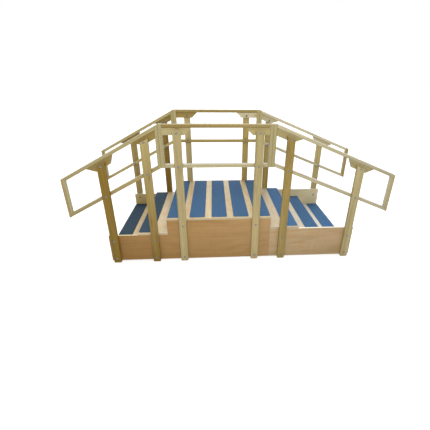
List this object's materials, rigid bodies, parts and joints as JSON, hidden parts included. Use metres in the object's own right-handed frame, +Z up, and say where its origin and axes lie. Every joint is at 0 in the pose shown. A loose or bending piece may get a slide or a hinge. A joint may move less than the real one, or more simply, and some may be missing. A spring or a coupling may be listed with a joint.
{
  "type": "mounting block",
  "caption": "Two-sided timber steps up to a platform, with blue non-slip strips on the treads and bolted handrails along both long sides.",
  "frame": {"origin": "on the floor, under the middle of the outline of the whole object", "axes": "+X along the walk towards the flight with more treads, +Y across the walk towards the rear handrail, +Z up"},
  "size_m": [3.017, 1.106, 1.335],
  "materials": {
    "post_timber": "clear lacquered softwood, satin",
    "rail_timber": "clear lacquered softwood, satin",
    "main_panel_ply": "lacquered reddish-brown veneered plywood, satin",
    "right_panel_ply": "lacquered pale brown veneered plywood, satin",
    "tread_ply": "lacquered pale plywood, satin",
    "riser_ply": "lacquered pale plywood, satin",
    "inner_timber": "planed softwood, raw",
    "blue_mat": "pebbled matt blue non-slip covering",
    "zinc_steel": "bright zinc plated"
  },
  "bodies": {
    "root": {"front_left_end_post": "post_timber", "front_left_corner_post": "post_timber", "front_left_middle_post": "post_timber", "front_right_middle_post": "post_timber", "front_right_corner_post": "post_timber", "front_right_end_post": "post_timber", "rear_left_end_post": "post_timber", "rear_left_corner_post": "post_timber", "rear_left_middle_post": "post_timber", "rear_right_middle_post": "post_timber", "rear_right_corner_post": "post_timber", "rear_right_end_post": "post_timber", "front_left_top_rail": "rail_timber", "front_left_mid_rail": "rail_timber", "front_level_top_rail": "rail_timber", "front_level_mid_rail": "rail_timber", "front_right_top_rail": "rail_timber", "front_right_mid_rail": "rail_timber", "front_left_end_upright": "rail_timber", "front_right_end_upright": "rail_timber", "front_corner_uprights": "rail_timber", "front_gussets": "rail_timber", "rear_left_top_rail": "rail_timber", "rear_left_mid_rail": "rail_timber", "rear_level_top_rail": "rail_timber", "rear_level_mid_rail": "rail_timber", "rear_right_top_rail": "rail_timber", "rear_right_mid_rail": "rail_timber", "rear_left_end_upright": "rail_timber", "rear_right_end_upright": "rail_timber", "rear_corner_uprights": "rail_timber", "rear_gussets": "rail_timber", "front_main_panel": "main_panel_ply", "rear_main_panel": "main_panel_ply", "front_right_panel": "right_panel_ply", "rear_right_panel": "right_panel_ply", "platform_board": "tread_ply", "left_upper_tread": "tread_ply", "left_lower_tread": "tread_ply", "right_upper_tread": "tread_ply", "right_middle_tread": "tread_ply", "right_lower_tread": "tread_ply", "left_platform_riser": "riser_ply", "left_middle_riser": "riser_ply", "left_end_riser": "riser_ply", "right_platform_riser": "riser_ply", "right_upper_riser": "riser_ply", "right_middle_riser": "riser_ply", "right_end_riser": "riser_ply", "platform_joists": "inner_timber", "corner_battens": "inner_timber", "tread_cleats": "inner_timber", "platform_mats": "blue_mat", "left_tread_mats": "blue_mat", "right_tread_mats": "blue_mat", "post_bolts": "zinc_steel", "post_washers": "zinc_steel", "post_nuts": "zinc_steel", "corner_bolts": "zinc_steel"}
  },
  "joints": []
}
